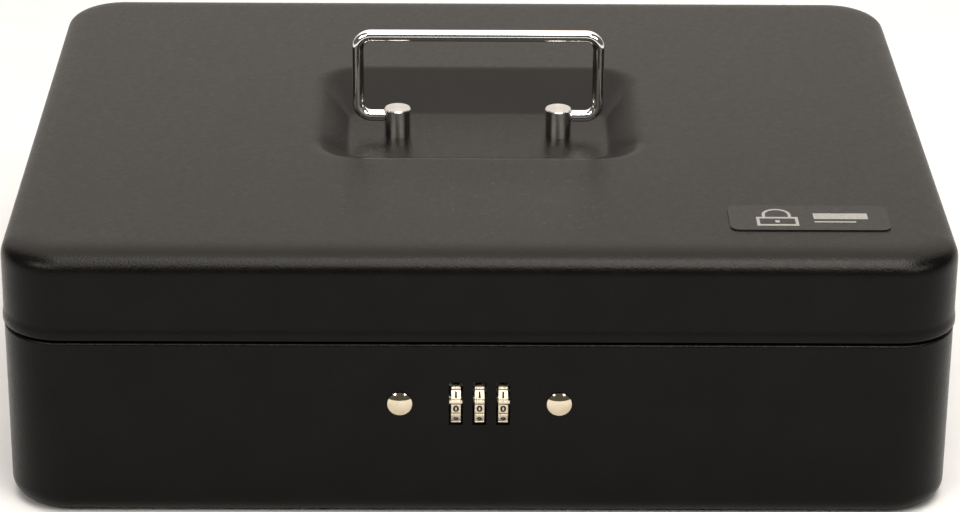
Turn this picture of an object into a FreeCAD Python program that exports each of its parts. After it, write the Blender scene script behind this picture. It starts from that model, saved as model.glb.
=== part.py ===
import FreeCAD, Part
import math
import os

Vector = FreeCAD.Vector

# A cash box with a hinged lid, a folding handle and a three-dial lock. Millimetres.
# The origin is the middle of the underside: +X right, +Y to the rear, +Z up.

# Case
BOX_WIDTH = 300.0
BOX_DEPTH = 240.0
BOX_HEIGHT = 90.0
CORNER_RADIUS = 20.0
SHEET = 1.0
LID_TOP_RADIUS = 8.0
LID_EDGE_Z = 61.3
HEM_HEIGHT = 3.0
HEM_BULGE = 0.35
BASE_INSET = 0.1  # front and side walls
BASE_REAR_INSET = 0.75
FOOT_RADIUS = 6.5
SHOULDER_Z = 60.3
SHOULDER_RADIUS = 1.0
RIM_INSET = 1.95
RIM_TOP_Z = 67.0

HALF_WIDTH = BOX_WIDTH / 2
HALF_DEPTH = BOX_DEPTH / 2
WALL_Y = HALF_DEPTH - BASE_REAR_INSET
INNER_WALL_Y = WALL_Y - SHEET
INNER_WALL_X = HALF_WIDTH - BASE_INSET - SHEET
RIM_INNER_Y = HALF_DEPTH - RIM_INSET - SHEET
SKIRT_Y = HALF_DEPTH - SHEET
FRONT_Y = BASE_INSET - HALF_DEPTH
FRONT_INNER_Y = FRONT_Y + SHEET

# Handle recess in the lid
RECESS_DEPTH = 9.0
RECESS_Y = 3.0
RECESS_MOUTH = (114.0, 86.6)
RECESS_FLOOR = (87.4, 39.0)
RECESS_MOUTH_CORNER = 16.0
RECESS_FLOOR_CORNER = 5.0
RECESS_FLOOR_Z = BOX_HEIGHT - RECESS_DEPTH

# Handle
HANDLE_Y = 4.9
PIVOT_Z = 87.7
POST_X = 27.4
POST_RADIUS = 4.5
POST_TOP_Z = 90.5
POST_CHAMFER = 0.3
WIRE_RADIUS = 2.0
NECK_RADIUS = 1.5
NECK_END_X = 25.5
BORE_END_X = 25.0
BAIL_HALF_WIDTH = 40.8
BAIL_HEIGHT = 28.9
BAIL_BEND = 4.5
WIRE_END_X = 32.05
POST_SCREW_RADIUS = 1.5
POST_SCREW_TOP_Z = 85.4
POST_SCREW_END_GAP = 0.4
POST_SCREW_HEAD = (2.8, 2.0)
WASHER_RADIUS = 3.5
WASHER_THICKNESS = 0.5

# Fits
PIN_CLEARANCE = 0.05
SIDE_GAP = 0.2

# Name plate, with no lettering
PLATE_X = (78.6, 129.1)
PLATE_Y = (-98.6, -79.2)
PLATE_CORNER = 3.0
PLATE_THICKNESS = 0.4

# Dials
DIAL_PITCH = 7.4
DIAL_POSITIONS = (-DIAL_PITCH, 0.0, DIAL_PITCH)
DIAL_RADIUS = 7.6
DIAL_BODY_RADIUS = 7.2
DIAL_WIDTH = 3.4
DIGIT_COUNT = 10
RIDGE_WIDTH = 0.9
RIDGE_ROOT = 6.8
TAB_OVERHANG = 0.3
AXLE_SETBACK = 5.2
AXLE_Y = FRONT_Y + AXLE_SETBACK
AXLE_Z = 39.05
AXLE_RADIUS = 1.5
DIAL_SLOT_WIDTH = 4.3
DIAL_SLOT_Z = (32.4, 47.2)

# Code wheels: a notched disc beside each dial
CODE_RADIUS = 3.95
CODE_HUB_RADIUS = 2.3
CODE_DISC = (3.25, 4.15)
CODE_HUB_END = 5.6
NOTCH_DEPTH_Y = 2.35
NOTCH_HALF_HEIGHT = 1.0

# Latches
LATCH_TRAVEL = 2.3
BUTTON_X = 25.0
BUTTON_Z = 39.85
BUTTON_RADIUS = 3.9
BUTTON_RISE = 1.15
BUTTON_GAP = 0.4
STEM_RADIUS = 1.4
SLIDING_GAP = 0.1
RIVET_NECK_RADIUS = 1.0
RIVET_HEAD_RADIUS = 1.8
RIVET_HEAD_HEIGHT = 0.5
SLIDE_SHEET = 1.2
SLIDE_X = (19.0, 31.0)
SLIDE_Z = (29.8, 50.2)
SLIDE_FRONT_Y = FRONT_INNER_Y + 0.2
BAR_Y = AXLE_Y + 8.15
BAR_OFFSET_Z = 1.6
BAR_HALF_HEIGHT = 1.2
TOOTH_HALF_HEIGHT = 0.6
TOOTH_TIP_Y = AXLE_Y + 2.55
TOOTH_REST = (4.5, 5.2)
BAR_TAIL = 1.2
TONGUE_Y = (-113.05, -110.05)
TONGUE_GAP = 0.4

# Strike on the lid
STRIKE_X = (12.9, 14.1)
STRIKE_Y = (-115.25, -108.05)
STRIKE_BOTTOM_Z = 47.3
STRIKE_SHELF_Z = 68.5
STRIKE_PLATE_TOP_Z = 81.0
STRIKE_HALF_WIDTH = 20.0
STRIKE_SHELF_HALF_WIDTH = 16.0
WINDOW_Y = (-113.85, -109.25)
WINDOW_Z = (48.5, 50.7)

# Lock case and cover
LOCK_HALF_WIDTH = 38.0
LOCK_SHEET = 1.0
CASE_FLOOR_Z = 29.5
CASE_REAR_Y = -102.85
CASE_FLANGE_BOTTOM_Z = 20.0
CHEEK_X = (13.2, 14.4)
CHEEK_Y = (-118.25, -107.85)
CHEEK_TOP_Z = 46.6
COVER_TOP_Z = 51.5
COVER_FRONT_Y = -118.55
COVER_HOLE_MARGIN = (0.7, 1.0)
STUD_X = 30.0
STUD_Z = 24.0
STUD_RADIUS = 1.5
STUD_LENGTH = 4.8
NUT_RADIUS = 3.1
NUT_HEIGHT = 2.4
COVER_SCREW_RADIUS = 1.25
COVER_SCREW_LENGTH = 5.0
COVER_SCREW_HEAD = (2.6, 1.3)
DETENT_SHEET = 0.3
DETENT_HALF_WIDTH = 12.0
DETENT_GAP = 0.25
DETENT_FINGER_HALF_WIDTH = 1.2
DETENT_REACH = 2.0
DETENT_FOOT_END = 8.0

# Code-change lever in the lock cover
LEVER_TRAVEL = 4.0
LEVER_STEM_X = (-4.0, -1.0)
LEVER_Z = 45.2
LEVER_STEM_HALF_HEIGHT = 1.0
LEVER_TAB_OVERHANG = 0.5
LEVER_TAB_HALF_HEIGHT = 2.2
LEVER_PLATE_OVERHANG = 3.0
LEVER_PLATE_HALF_HEIGHT = 2.0
LEVER_TAB_Y = (-101.75, -99.25)
LEVER_PLATE_Y = (-104.25, -102.95)

# Lid hinges
HINGE_X = 85.0
HINGE_LENGTH = 40.0
HINGE_Y = 115.75
HINGE_Z = 56.6
KNUCKLE_RADIUS = 2.5
HINGE_PIN_RADIUS = 1.25
LEAF_SHEET = 1.0
LID_LEAF_SHEET = 0.8
MIDDLE_KNUCKLE = 16.0
LID_LEAF_BOTTOM = 4.6
LID_LEAF_TOP = 18.0
BASE_LEAF_TOP = -3.8
BASE_LEAF_BOTTOM = -14.0
WALL_NOTCH_BOTTOM = -3.6
WALL_NOTCH_WIDTH = 18.0
RIM_NOTCH_WIDTH = 42.0
RIM_TO_SKIRT = 0.7
PIN_HEAD = (1.9, 0.8)
RIVET_SPACING = 14.0
RIVET_RADIUS = 1.5
RIVET_OUTER_HEAD = (2.4, 0.6)
RIVET_INNER_HEAD = (2.2, 0.5)
BASE_RIVET_Z = 47.6
LID_RIVET_Z = 71.0

# Coin tray and the ledges that carry it
TRAY_BOTTOM_Z = 27.0
TRAY_TOP_Z = 55.0
TRAY_HALF_WIDTH = 146.3
TRAY_Y = (-116.3, 112.3)
TRAY_CORNER = 16.3
TRAY_WALL = 2.5
TRAY_FLOOR = 2.0
TRAY_NOTCH = (41.0, -98.0)
TRAY_EDGE_RADIUS = 2.0
CUP_REAR_Y = -38.0
CUP_RADIUS = 5.0
CUP_CORNER = 12.0
TAB_X = 95.0
TAB_HALF_WIDTH = 12.0
TAB_HEIGHT = 3.0
LEDGE_WIDTH = 9.0
LEDGE_HEIGHT = 11.0
LEDGE_Y = (-80.0, 90.0)
LEDGE_GAP = 0.1

PAST = 1.0  # how far a cutting tool runs past the face it cuts
OVERCUT = 0.1  # how far a cut runs on below a sheet


def brick(x, y, z):
    """A box from three (low, high) ranges."""
    size = (x[1] - x[0], y[1] - y[0], z[1] - z[0])
    return Part.makeBox(*size, Vector(x[0], y[0], z[0]))


def rod(radius, start, end):
    """A cylinder from one point to another."""
    start, end = Vector(*start), Vector(*end)
    return Part.makeCylinder(radius, (end - start).Length, start, end - start)


def fuse(solids):
    """One solid from several that touch or overlap."""
    return solids[0].fuse(solids[1:]).removeSplitter()


def cut(solid, tools):
    """A solid with every tool taken away."""
    return solid.cut(tools) if tools else solid


def mirror_x(shape):
    """The same shape on the other side of the YZ plane."""
    return shape.mirror(Vector(0, 0, 0), Vector(1, 0, 0))


def outline(size, radius, z, centre=(0.0, 0.0)):
    """A closed rectangle with rounded corners, lying flat at height z."""
    half_x, half_y = size[0] / 2, size[1] / 2
    edges = []
    for quarter in range(4):
        start = math.radians(90 * quarter)
        sign_x, sign_y = ((1, 1), (-1, 1), (-1, -1), (1, -1))[quarter]
        corner_x = centre[0] + sign_x * (half_x - radius)
        corner_y = centre[1] + sign_y * (half_y - radius)
        points = []
        for part in (0, 0.5, 1):
            angle = start + part * math.pi / 2
            points.append(Vector(corner_x + radius * math.cos(angle), corner_y + radius * math.sin(angle), z))
        if edges:
            edges.append(Part.makeLine(last, points[0]))
        else:
            first = points[0]
        edges.append(Part.Arc(*points).toShape())
        last = points[2]
    edges.append(Part.makeLine(last, first))
    return Part.Wire(edges)


def block(size, radius, low, high, centre=(0.0, 0.0)):
    """An upright block with rounded vertical corners."""
    return Part.Face(outline(size, radius, low, centre)).extrude(Vector(0, 0, high - low))


def round_level(solid, z, radius):
    """Round every edge that lies flat at height z."""
    edges = [edge for edge in solid.Edges if max(abs(vertex.Z - z) for vertex in edge.Vertexes) < 1e-6]
    return solid.makeFillet(radius, edges)


def inset(amount):
    """Plan size of the case outline moved inwards by an amount."""
    return (BOX_WIDTH - 2 * amount, BOX_DEPTH - 2 * amount)


def shell_block(amount, low, high):
    """A block of the case outline moved inwards by an amount, with concentric corners."""
    return block(inset(amount), CORNER_RADIUS - amount, low, high)


# ---------------------------------------------------------------- base


def button_slot(side):
    """The slot in the front wall that a button's stem slides along."""
    half = STEM_RADIUS + SLIDING_GAP
    ends = (BUTTON_X - LATCH_TRAVEL, BUTTON_X)
    y = (FRONT_Y - PAST, FRONT_INNER_Y + PAST)
    tools = [rod(half, (x, y[0], BUTTON_Z), (x, y[1], BUTTON_Z)) for x in ends]
    tools.append(brick(ends, y, (BUTTON_Z - half, BUTTON_Z + half)))
    slot = fuse(tools)
    return slot if side > 0 else mirror_x(slot)


def dial_slots():
    """The upright slots in the front wall, one for each dial."""
    half = DIAL_SLOT_WIDTH / 2
    y = (FRONT_Y - PAST, FRONT_INNER_Y + PAST)
    return [brick((x - half, x + half), y, DIAL_SLOT_Z) for x in DIAL_POSITIONS]


def hinge_notches(side):
    """The openings in the rear wall and rim that the lid's hinge leaf swings through."""
    x = side * HINGE_X
    rim_half = RIM_NOTCH_WIDTH / 2
    wall_half = WALL_NOTCH_WIDTH / 2
    rim = brick((x - rim_half, x + rim_half), (RIM_INNER_Y - PAST, SKIRT_Y - RIM_TO_SKIRT),
                (SHOULDER_Z - SHEET - OVERCUT, RIM_TOP_Z + PAST))
    wall = brick((x - wall_half, x + wall_half), (RIM_INNER_Y - PAST, HALF_DEPTH),
                 (HINGE_Z + WALL_NOTCH_BOTTOM, SHOULDER_Z + PAST))
    return [rim, wall]


def rivet_places(z):
    """The x and z of each hinge rivet in one row."""
    places = []
    for hinge in (-HINGE_X, HINGE_X):
        for offset in (-RIVET_SPACING, RIVET_SPACING):
            places.append((hinge + offset, z))
    return places


def base_block(amount, low, high):
    """A block of the base outline moved inwards by an amount; its rear wall stands further in than the others."""
    shift = BASE_REAR_INSET - BASE_INSET
    width, depth = inset(BASE_INSET + amount)
    return block((width, depth - shift), CORNER_RADIUS - BASE_INSET - amount, low, high, (0.0, -shift / 2))


def base_shell():
    """The tray-shaped lower half: walls, a rounded shoulder and a stepped-in rim."""
    rim_floor = SHOULDER_Z - SHEET
    outer = round_level(base_block(0, 0, SHOULDER_Z), 0, FOOT_RADIUS)
    outer = round_level(outer, SHOULDER_Z, SHOULDER_RADIUS)
    rim = shell_block(RIM_INSET, rim_floor, RIM_TOP_Z)
    cavity = round_level(base_block(SHEET, SHEET, rim_floor), SHEET, FOOT_RADIUS - SHEET)
    mouth = shell_block(RIM_INSET + SHEET, rim_floor - PAST, RIM_TOP_Z + PAST)
    shell = cut(outer.fuse(rim), [cavity, mouth])
    tools = dial_slots() + [button_slot(-1), button_slot(1)]
    tools += hinge_notches(-1) + hinge_notches(1)
    for x, z in rivet_places(BASE_RIVET_Z):
        tools.append(rod(RIVET_RADIUS, (x, INNER_WALL_Y - PAST, z), (x, WALL_Y + PAST, z)))
    return cut(shell, tools)


def tray_ledge(side):
    """An angle strip on the side wall that the coin tray rests on."""
    top = TRAY_BOTTOM_Z - LEDGE_GAP
    upright = brick((INNER_WALL_X - LOCK_SHEET, INNER_WALL_X), LEDGE_Y, (top - LEDGE_HEIGHT, top))
    shelf = brick((INNER_WALL_X - LEDGE_WIDTH, INNER_WALL_X), LEDGE_Y, (top - LOCK_SHEET, top))
    strip = fuse([upright, shelf])
    return strip if side > 0 else mirror_x(strip)


# ---------------------------------------------------------------- lid hinges


def knuckle(x, bore):
    """One barrel of a hinge over an x range."""
    barrel = rod(KNUCKLE_RADIUS, (x[0], HINGE_Y, HINGE_Z), (x[1], HINGE_Y, HINGE_Z))
    hole = rod(bore, (x[0] - PAST, HINGE_Y, HINGE_Z), (x[1] + PAST, HINGE_Y, HINGE_Z))
    return barrel, hole


def tangent_y():
    """The y range of a leaf that runs straight off the back of a barrel."""
    return (HINGE_Y + KNUCKLE_RADIUS - LEAF_SHEET, HINGE_Y + KNUCKLE_RADIUS)


def hinge_base_leaf(side):
    """The fixed leaf, with a barrel at each end and a clear middle for the lid's leaf."""
    middle = side * HINGE_X
    half = HINGE_LENGTH / 2
    inner = MIDDLE_KNUCKLE / 2 + SIDE_GAP
    level = (HINGE_Z + BASE_LEAF_BOTTOM, HINGE_Z + BASE_LEAF_TOP)
    parts = [brick((middle - half, middle + half), tangent_y(), level)]
    holes = []
    for x in ((middle - half, middle - inner), (middle + inner, middle + half)):
        barrel, hole = knuckle(x, HINGE_PIN_RADIUS)
        parts.append(barrel)
        parts.append(brick(x, tangent_y(), (level[1], HINGE_Z)))
        holes.append(hole)
    for x, z in rivet_places(BASE_RIVET_Z):
        holes.append(rod(RIVET_RADIUS, (x, HINGE_Y, z), (x, WALL_Y, z)))
    return cut(fuse(parts), holes)


def hinge_lid_leaf(side):
    """The moving leaf: a middle barrel, a step over the shoulder and a plate on the skirt."""
    middle = side * HINGE_X
    half = HINGE_LENGTH / 2
    x = (middle - MIDDLE_KNUCKLE / 2, middle + MIDDLE_KNUCKLE / 2)
    step = (HINGE_Z + LID_LEAF_BOTTOM, HINGE_Z + LID_LEAF_BOTTOM + LEAF_SHEET)
    barrel, hole = knuckle(x, HINGE_PIN_RADIUS + PIN_CLEARANCE)
    parts = [
        barrel,
        brick(x, tangent_y(), (HINGE_Z, step[1])),
        brick(x, (tangent_y()[0], SKIRT_Y), step),
        brick((middle - half, middle + half), (SKIRT_Y - LID_LEAF_SHEET, SKIRT_Y),
              (step[0], HINGE_Z + LID_LEAF_TOP)),
    ]
    holes = [hole]
    for x_hole, z in rivet_places(LID_RIVET_Z):
        holes.append(rod(RIVET_RADIUS, (x_hole, HINGE_Y, z), (x_hole, HALF_DEPTH, z)))
    return cut(fuse(parts), holes)


def hinge_pin(side):
    """The pin through both leaves, headed at each end."""
    start = side * HINGE_X - HINGE_LENGTH / 2
    end = start + HINGE_LENGTH
    head_radius, head_length = PIN_HEAD
    parts = [
        rod(HINGE_PIN_RADIUS, (start, HINGE_Y, HINGE_Z), (end, HINGE_Y, HINGE_Z)),
        rod(head_radius, (start - head_length, HINGE_Y, HINGE_Z), (start, HINGE_Y, HINGE_Z)),
        rod(head_radius, (end, HINGE_Y, HINGE_Z), (end + head_length, HINGE_Y, HINGE_Z)),
    ]
    return fuse(parts)


def rivets(z, inner_y, outer_y):
    """Four headed rivets through a hinge leaf and a wall."""
    solids = []
    for x, height in rivet_places(z):
        head_radius, head_height = RIVET_OUTER_HEAD
        tail_radius, tail_height = RIVET_INNER_HEAD
        head = rod(head_radius, (x, outer_y, height), (x, outer_y + head_height, height))
        head = head.makeChamfer(head_height / 2, [head.Edges[0]])
        shank = rod(RIVET_RADIUS, (x, inner_y, height), (x, outer_y, height))
        tail = rod(tail_radius, (x, inner_y - tail_height, height), (x, inner_y, height))
        solids.append(fuse([head, shank, tail]))
    return Part.makeCompound(solids)


# ---------------------------------------------------------------- lock


def lock_case():
    """A bent channel on the front wall whose two cheeks carry the dial axle."""
    x = (-LOCK_HALF_WIDTH, LOCK_HALF_WIDTH)
    front = (FRONT_INNER_Y, FRONT_INNER_Y + LOCK_SHEET)
    rear = (CASE_REAR_Y - LOCK_SHEET, CASE_REAR_Y)
    flange_z = (CASE_FLANGE_BOTTOM_Z, CASE_FLOOR_Z)
    parts = [
        brick(x, (front[0], rear[1]), (CASE_FLOOR_Z - LOCK_SHEET, CASE_FLOOR_Z)),
        brick(x, front, flange_z),
        brick(x, rear, flange_z),
    ]
    holes = []
    for side in (-1, 1):
        cheek_x = sorted((side * CHEEK_X[0], side * CHEEK_X[1]))
        parts.append(brick(cheek_x, CHEEK_Y, (CASE_FLOOR_Z, CHEEK_TOP_Z)))
        stud_x = side * STUD_X
        holes.append(rod(STUD_RADIUS + SIDE_GAP, (stud_x, front[0] - PAST, STUD_Z), (stud_x, front[1] + PAST, STUD_Z)))
        holes.append(rod(COVER_SCREW_RADIUS, (stud_x, rear[0] - PAST, STUD_Z), (stud_x, rear[1] + PAST, STUD_Z)))
    reach = CHEEK_X[1] + PAST
    holes.append(rod(AXLE_RADIUS, (-reach, AXLE_Y, AXLE_Z), (reach, AXLE_Y, AXLE_Z)))
    return cut(fuse(parts), holes)


def lock_cover():
    """The cover over the mechanism, with openings for the strike and the code-change lever."""
    x = (-LOCK_HALF_WIDTH, LOCK_HALF_WIDTH)
    rear = (CASE_REAR_Y, CASE_REAR_Y + LOCK_SHEET)
    parts = [
        brick(x, (COVER_FRONT_Y, rear[1]), (COVER_TOP_Z - LOCK_SHEET, COVER_TOP_Z)),
        brick(x, rear, (CASE_FLANGE_BOTTOM_Z, COVER_TOP_Z)),
    ]
    stem_low = LEVER_STEM_X[0] - SIDE_GAP
    stem_high = LEVER_STEM_X[1] + LEVER_TRAVEL + SIDE_GAP
    stem_half = LEVER_STEM_HALF_HEIGHT + SLIDING_GAP
    holes = [brick((stem_low, stem_high), (rear[0] - PAST, rear[1] + PAST), (LEVER_Z - stem_half, LEVER_Z + stem_half))]
    for side in (-1, 1):
        end_x = sorted((side * LOCK_HALF_WIDTH, side * (LOCK_HALF_WIDTH - LOCK_SHEET)))
        parts.append(brick(end_x, (COVER_FRONT_Y, CASE_REAR_Y), (CASE_FLOOR_Z, COVER_TOP_Z)))
        margin_x, margin_y = COVER_HOLE_MARGIN
        hole_x = sorted((side * (STRIKE_X[0] - margin_x), side * (STRIKE_X[1] + margin_x)))
        hole_y = (STRIKE_Y[0] - margin_y, STRIKE_Y[1] + margin_y)
        holes.append(brick(hole_x, hole_y, (COVER_TOP_Z - LOCK_SHEET - PAST, COVER_TOP_Z + PAST)))
        start = (side * STUD_X, rear[0] - PAST, STUD_Z)
        holes.append(rod(COVER_SCREW_RADIUS + PIN_CLEARANCE, start, (side * STUD_X, rear[1] + PAST, STUD_Z)))
    return cut(fuse(parts), holes)


def cover_screws():
    """Two pan-head screws that hold the lock cover to the case."""
    head_radius, head_height = COVER_SCREW_HEAD
    face = CASE_REAR_Y + LOCK_SHEET
    solids = []
    for x in (-STUD_X, STUD_X):
        head = rod(head_radius, (x, face, STUD_Z), (x, face + head_height, STUD_Z))
        shank = rod(COVER_SCREW_RADIUS, (x, face - COVER_SCREW_LENGTH, STUD_Z), (x, face, STUD_Z))
        solids.append(fuse([head, shank]))
    return Part.makeCompound(solids)


def lock_studs():
    """Two studs welded to the inside of the front wall."""
    solids = []
    for x in (-STUD_X, STUD_X):
        solids.append(rod(STUD_RADIUS, (x, FRONT_INNER_Y, STUD_Z), (x, FRONT_INNER_Y + STUD_LENGTH, STUD_Z)))
    return Part.makeCompound(solids)


def lock_nuts():
    """A hexagon nut on each stud."""
    face = FRONT_INNER_Y + LOCK_SHEET
    solids = []
    for x in (-STUD_X, STUD_X):
        points = []
        for corner in range(7):
            angle = math.radians(60 * corner)
            points.append(Vector(x + NUT_RADIUS * math.cos(angle), face, STUD_Z + NUT_RADIUS * math.sin(angle)))
        nut = Part.Face(Part.makePolygon(points)).extrude(Vector(0, NUT_HEIGHT, 0))
        solids.append(nut.cut(rod(STUD_RADIUS, (x, face - PAST, STUD_Z), (x, face + NUT_HEIGHT + PAST, STUD_Z))))
    return Part.makeCompound(solids)


def dial_axle():
    """The fixed shaft that the dials turn on."""
    return rod(AXLE_RADIUS, (-CHEEK_X[1], AXLE_Y, AXLE_Z), (CHEEK_X[1], AXLE_Y, AXLE_Z))


def axle_spacer():
    """The sleeve that keeps the dials centred in their slots."""
    x = (-CHEEK_X[0], DIAL_POSITIONS[0] - DIAL_WIDTH / 2 - SIDE_GAP)
    sleeve = rod(CODE_HUB_RADIUS, (x[0], AXLE_Y, AXLE_Z), (x[1], AXLE_Y, AXLE_Z))
    return sleeve.cut(rod(AXLE_RADIUS, (x[0] - PAST, AXLE_Y, AXLE_Z), (x[1] + PAST, AXLE_Y, AXLE_Z)))


def detent_spring():
    """A leaf spring with one finger under each dial."""
    foot_y = (AXLE_Y + DETENT_REACH, AXLE_Y + DETENT_FOOT_END)
    step = (foot_y[0], foot_y[0] + DETENT_SHEET)
    top = AXLE_Z - DIAL_RADIUS - DETENT_GAP
    foot = brick((-DETENT_HALF_WIDTH, DETENT_HALF_WIDTH), foot_y, (CASE_FLOOR_Z, CASE_FLOOR_Z + DETENT_SHEET))
    parts = [foot]
    for middle in DIAL_POSITIONS:
        x = (middle - DETENT_FINGER_HALF_WIDTH, middle + DETENT_FINGER_HALF_WIDTH)
        parts.append(brick(x, step, (CASE_FLOOR_Z, top)))
        parts.append(brick(x, (AXLE_Y - DETENT_REACH, step[1]), (top - DETENT_SHEET, top)))
    return fuse(parts)


def dial(middle, tabs):
    """A ten-position dial with a ridge between digits, and tabs on the ridge above the zero."""
    half = DIAL_WIDTH / 2
    parts = [rod(DIAL_BODY_RADIUS, (middle - half, AXLE_Y, AXLE_Z), (middle + half, AXLE_Y, AXLE_Z))]
    step = 360.0 / DIGIT_COUNT
    for index in range(DIGIT_COUNT):
        left, right = (tabs[0], tabs[1]) if index == 0 else (0.0, 0.0)
        ridge = brick((middle - half - left, middle + half + right), (-DIAL_RADIUS, -RIDGE_ROOT),
                      (-RIDGE_WIDTH / 2, RIDGE_WIDTH / 2))
        ridge.rotate(Vector(0, 0, 0), Vector(1, 0, 0), -(index + 0.5) * step)
        ridge.translate(Vector(0, AXLE_Y, AXLE_Z))
        parts.append(ridge)
    reach = half + PAST
    bore = rod(AXLE_RADIUS + PIN_CLEARANCE, (middle - reach, AXLE_Y, AXLE_Z), (middle + reach, AXLE_Y, AXLE_Z))
    sweep = rod(DIAL_RADIUS, (middle - reach, AXLE_Y, AXLE_Z), (middle + reach, AXLE_Y, AXLE_Z))
    return fuse(parts).common(sweep).cut(bore)


def code_wheel(middle):
    """A notched disc on a hub; both latch bars pass through its notches at the set digit."""
    hub = rod(CODE_HUB_RADIUS, (middle + DIAL_WIDTH / 2, AXLE_Y, AXLE_Z), (middle + CODE_HUB_END, AXLE_Y, AXLE_Z))
    disc = rod(CODE_RADIUS, (middle + CODE_DISC[0], AXLE_Y, AXLE_Z), (middle + CODE_DISC[1], AXLE_Y, AXLE_Z))
    tools = []
    for offset in (-BAR_OFFSET_Z, BAR_OFFSET_Z):
        level = AXLE_Z + offset
        tools.append(brick((middle + CODE_DISC[0] - PAST, middle + CODE_DISC[1] + PAST),
                           (AXLE_Y + NOTCH_DEPTH_Y, AXLE_Y + CODE_RADIUS + PAST),
                           (level - NOTCH_HALF_HEIGHT, level + NOTCH_HALF_HEIGHT)))
    reach = CODE_HUB_END + PAST
    tools.append(rod(AXLE_RADIUS + PIN_CLEARANCE, (middle, AXLE_Y, AXLE_Z), (middle + reach, AXLE_Y, AXLE_Z)))
    return cut(fuse([hub, disc]), tools)


def latch_button(side):
    """A domed button on a stem that is riveted to the latch slide."""
    base_y = FRONT_Y - BUTTON_GAP
    sphere_radius = (BUTTON_RADIUS ** 2 + BUTTON_RISE ** 2) / (2 * BUTTON_RISE)
    centre = Vector(BUTTON_X, base_y + sphere_radius - BUTTON_RISE, BUTTON_Z)
    reach = (-2 * sphere_radius, 2 * sphere_radius)
    front = brick(reach, (reach[0], 0), reach)
    front.translate(Vector(BUTTON_X, base_y, BUTTON_Z))
    dome = Part.makeSphere(sphere_radius, centre).common(front)
    plate = (SLIDE_FRONT_Y, SLIDE_FRONT_Y + SLIDE_SHEET)
    tail = plate[1] + RIVET_HEAD_HEIGHT
    stem = rod(STEM_RADIUS, (BUTTON_X, base_y, BUTTON_Z), (BUTTON_X, plate[0], BUTTON_Z))
    neck = rod(RIVET_NECK_RADIUS, (BUTTON_X, plate[0], BUTTON_Z), (BUTTON_X, plate[1], BUTTON_Z))
    head = rod(RIVET_HEAD_RADIUS, (BUTTON_X, plate[1], BUTTON_Z), (BUTTON_X, tail, BUTTON_Z))
    button = fuse([dome, stem, neck, head])
    return button if side > 0 else mirror_x(button)


def slide_bar(side):
    """The bar behind the dials with one tooth beside each code wheel."""
    level = AXLE_Z - side * BAR_OFFSET_Z
    gap_centre = (CODE_DISC[0] + CODE_DISC[1]) / 2
    centres = [middle + gap_centre for middle in DIAL_POSITIONS]
    tooth_offset = TOOTH_REST[0] - gap_centre
    tooth_width = TOOTH_REST[1] - TOOTH_REST[0]
    teeth_x = []
    for centre in centres:
        near, far = centre + side * tooth_offset, centre + side * (tooth_offset + tooth_width)
        teeth_x.append(sorted((near, far)))
    ends = [edge for pair in teeth_x for edge in pair] + [side * SLIDE_X[0]]
    x = (min(ends) - (BAR_TAIL if side > 0 else 0), max(ends) + (BAR_TAIL if side < 0 else 0))
    height = (level - BAR_HALF_HEIGHT, level + BAR_HALF_HEIGHT)
    parts = [brick(x, (BAR_Y, BAR_Y + SLIDE_SHEET), height)]
    for tooth_x in teeth_x:
        tooth_z = (level - TOOTH_HALF_HEIGHT, level + TOOTH_HALF_HEIGHT)
        parts.append(brick(tooth_x, (TOOTH_TIP_Y, BAR_Y), tooth_z))
    return parts


def latch_slide(side):
    """A bent channel that slides along the front wall, with a tongue and a toothed bar."""
    x = sorted((side * SLIDE_X[0], side * SLIDE_X[1]))
    front = (SLIDE_FRONT_Y, SLIDE_FRONT_Y + SLIDE_SHEET)
    rear = (BAR_Y, BAR_Y + SLIDE_SHEET)
    top = (SLIDE_Z[1] - SLIDE_SHEET, SLIDE_Z[1])
    tongue_x = sorted((side * (STRIKE_X[1] + TONGUE_GAP), side * SLIDE_X[0]))
    parts = [
        brick(x, front, SLIDE_Z),
        brick(x, (front[0], rear[1]), top),
        brick(x, rear, SLIDE_Z),
        brick(tongue_x, TONGUE_Y, top),
    ]
    parts += slide_bar(side)
    button_x = side * BUTTON_X
    hole = rod(RIVET_NECK_RADIUS, (button_x, front[0] - PAST, BUTTON_Z), (button_x, front[1] + PAST, BUTTON_Z))
    return fuse(parts).cut(hole)


def reset_lever():
    """The small lever that is moved across while a new code is set."""
    half = LEVER_STEM_HALF_HEIGHT
    stem_x = LEVER_STEM_X
    tab = brick((stem_x[0] - LEVER_TAB_OVERHANG, stem_x[1] + LEVER_TAB_OVERHANG), LEVER_TAB_Y,
                (LEVER_Z - LEVER_TAB_HALF_HEIGHT, LEVER_Z + LEVER_TAB_HALF_HEIGHT))
    stem = brick(stem_x, (LEVER_PLATE_Y[1], LEVER_TAB_Y[0]), (LEVER_Z - half, LEVER_Z + half))
    plate = brick((stem_x[0] - LEVER_PLATE_OVERHANG, stem_x[1] + LEVER_PLATE_OVERHANG), LEVER_PLATE_Y,
                  (LEVER_Z - LEVER_PLATE_HALF_HEIGHT, LEVER_Z + LEVER_PLATE_HALF_HEIGHT))
    return fuse([tab, stem, plate])


# ---------------------------------------------------------------- lid


def recess(grow, floor_z):
    """The tapered space of the handle recess, grown outwards by a sheet thickness."""
    floor_size, mouth_size = [], []
    for floor_length, mouth_length in zip(RECESS_FLOOR, RECESS_MOUTH):
        slope = math.atan2(RECESS_DEPTH, (mouth_length - floor_length) / 2)
        floor_size.append(floor_length + 2 * grow * math.tan(slope / 2))
        mouth_size.append(mouth_length + 2 * grow / math.sin(slope))
    centre = (0.0, RECESS_Y)
    low = outline(floor_size, RECESS_FLOOR_CORNER, floor_z, centre)
    high = outline(mouth_size, RECESS_MOUTH_CORNER + grow, BOX_HEIGHT, centre)
    return Part.makeLoft([low, high], True, True)


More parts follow.
